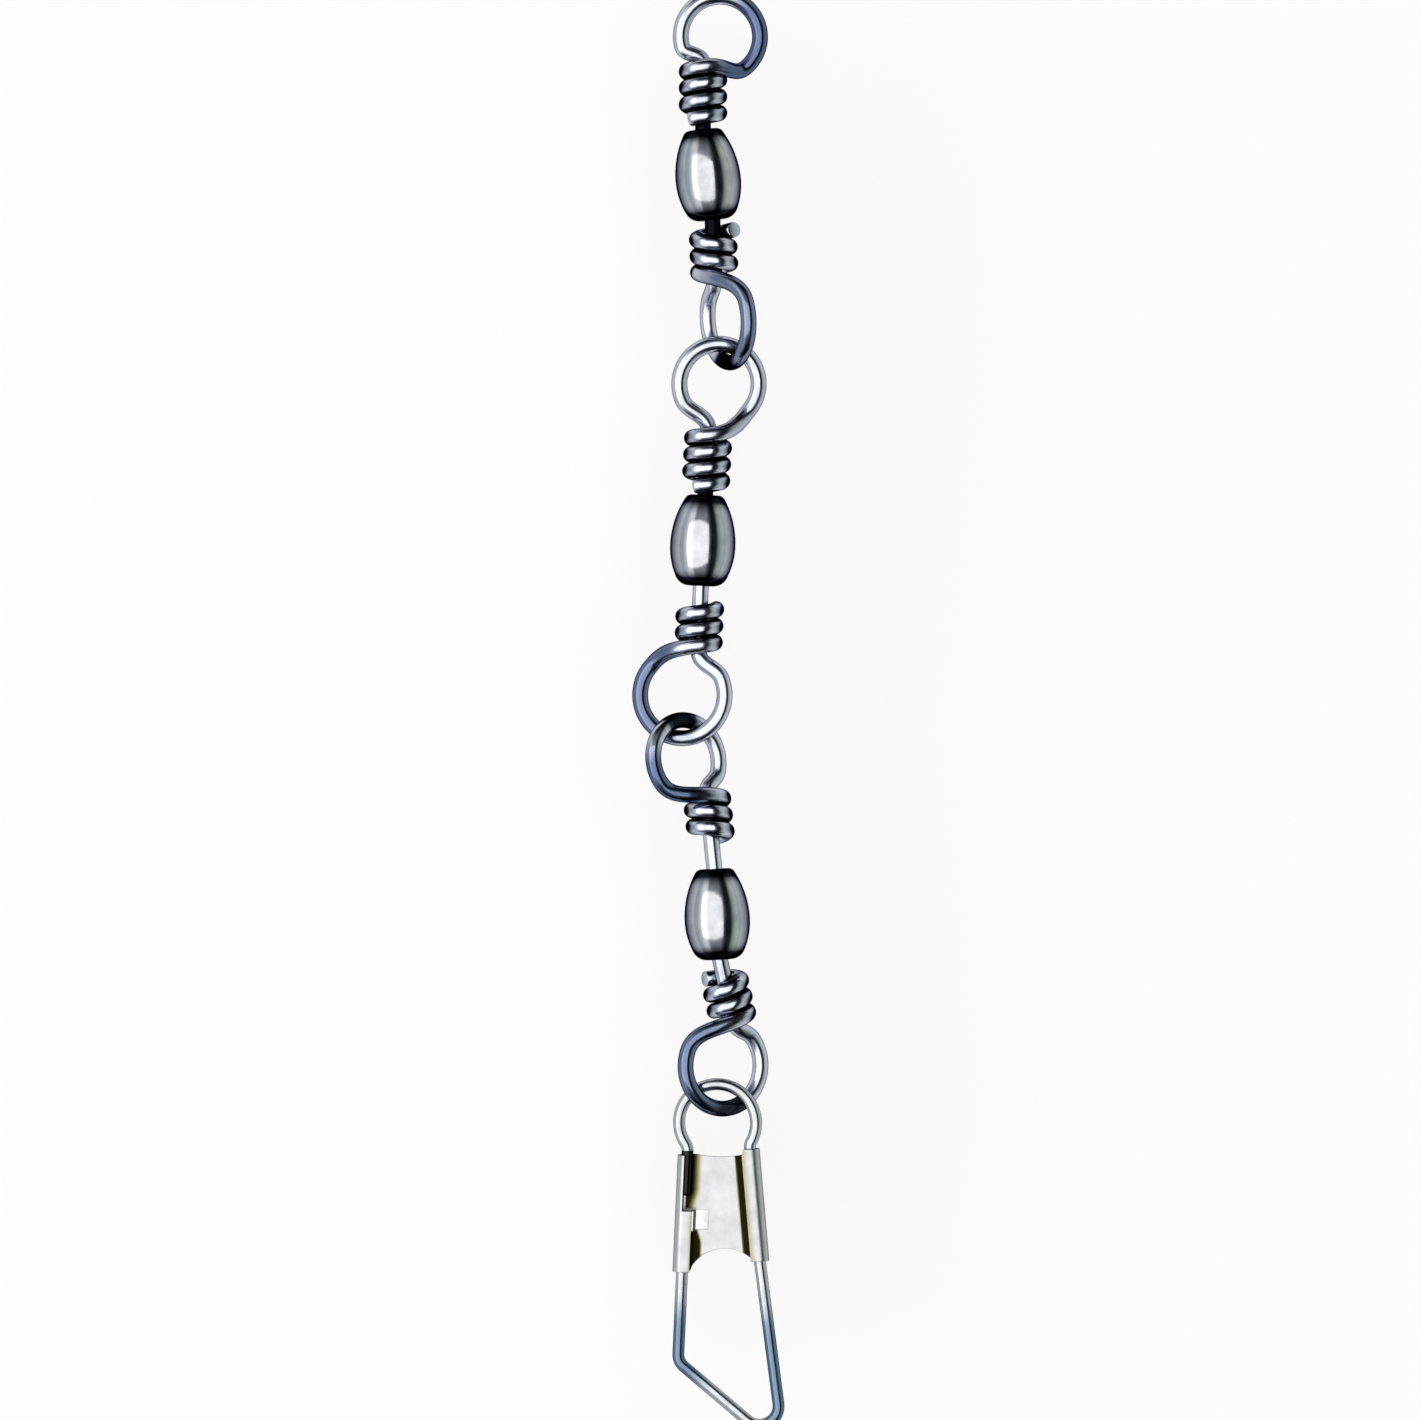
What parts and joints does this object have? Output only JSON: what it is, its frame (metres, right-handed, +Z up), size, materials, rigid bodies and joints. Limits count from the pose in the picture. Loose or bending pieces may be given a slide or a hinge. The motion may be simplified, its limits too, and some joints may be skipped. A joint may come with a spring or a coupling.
{
  "type": "fishing snap swivel",
  "caption": "Barrel swivels linked eye to eye, with turned barrels, wrapped wire eyes and a folded safety snap.",
  "frame": {"origin": "centre of the underside of the whole chain's bounding box, on the surface it lies on", "axes": "+Z up from the surface, +Y along the chain towards the line eye, +X across it"},
  "size_m": [0.0096, 0.0902, 0.0059],
  "materials": {
    "eye_wire": "bright drawn wire",
    "barrel": "polished plate",
    "snap_wire": "bright spring wire",
    "snap_plate": "bright folded sheet"
  },
  "bodies": {
    "swivel1_upper_eye": {"swivel1_upper_eye": "eye_wire"},
    "swivel1_barrel": {"swivel1_barrel": "barrel"},
    "swivel1_lower_eye": {"swivel1_lower_eye": "eye_wire"},
    "swivel2_upper_eye": {"swivel2_upper_eye": "eye_wire"},
    "swivel2_barrel": {"swivel2_barrel": "barrel"},
    "swivel2_lower_eye": {"swivel2_lower_eye": "eye_wire"},
    "swivel3_upper_eye": {"swivel3_upper_eye": "eye_wire"},
    "swivel3_barrel": {"swivel3_barrel": "barrel"},
    "swivel3_lower_eye": {"swivel3_lower_eye": "eye_wire"},
    "snap": {"snap_wire": "snap_wire", "snap_plate": "snap_plate"},
    "snap_arm": {"snap_arm": "snap_wire"}
  },
  "joints": [
    {"name": "swivel1_upper_spin", "type": "hinge", "parent": "swivel1_upper_eye", "child": "swivel1_barrel", "pos_m": [-0.00034, 0.03608, 0.00205], "axis": [0, 1, 0], "continuous": true},
    {"name": "swivel1_lower_spin", "type": "hinge", "parent": "swivel1_barrel", "child": "swivel1_lower_eye", "pos_m": [0.00025, 0.03086, 0.00205], "axis": [0.0348, -0.997, -0.0698], "continuous": true},
    {"name": "swivel2_upper_spin", "type": "hinge", "parent": "swivel2_upper_eye", "child": "swivel2_barrel", "pos_m": [-0.00021, 0.01324, 0.00205], "axis": [0.0523, 0.9973, 0.0523], "continuous": true},
    {"name": "swivel2_lower_spin", "type": "hinge", "parent": "swivel2_barrel", "child": "swivel2_lower_eye", "pos_m": [-0.00046, 0.00799, 0.00205], "axis": [-0.0401, -0.9992, 0], "continuous": true},
    {"name": "swivel3_upper_spin", "type": "hinge", "parent": "swivel3_upper_eye", "child": "swivel3_barrel", "pos_m": [0.0004, -0.01012, 0.00205], "axis": [-0.1041, 0.9907, -0.0872], "continuous": true},
    {"name": "swivel3_lower_spin", "type": "hinge", "parent": "swivel3_barrel", "child": "swivel3_lower_eye", "pos_m": [0.00068, -0.01536, 0.00205], "axis": [0.2114, -0.9698, -0.1219], "continuous": true},
    {"name": "link1_hinge", "type": "hinge", "parent": "swivel1_lower_eye", "child": "swivel2_upper_eye", "pos_m": [0.00066, 0.02039, 0.00236], "axis": [0.1363, -0.059, 0.9889], "range_deg": [-80, 80]},
    {"name": "link2_hinge", "type": "hinge", "parent": "swivel2_lower_eye", "child": "swivel3_upper_eye", "pos_m": [-0.00163, 0.00096, 0.00186], "axis": [-0.2077, 0.0083, 0.9781], "range_deg": [-80, 80]},
    {"name": "link3_hinge", "type": "hinge", "parent": "swivel3_lower_eye", "child": "snap", "pos_m": [0.00057, -0.02577, 0.00199], "axis": [-0.1132, -0.0883, 0.9896], "range_deg": [-80, 80]},
    {"name": "snap_arm_flex", "type": "hinge", "parent": "snap", "child": "snap_arm", "pos_m": [0.00438, -0.0434, 0.00085], "axis": [0.1132, 0.0883, -0.9896], "range_deg": [0, 6]}
  ]
}
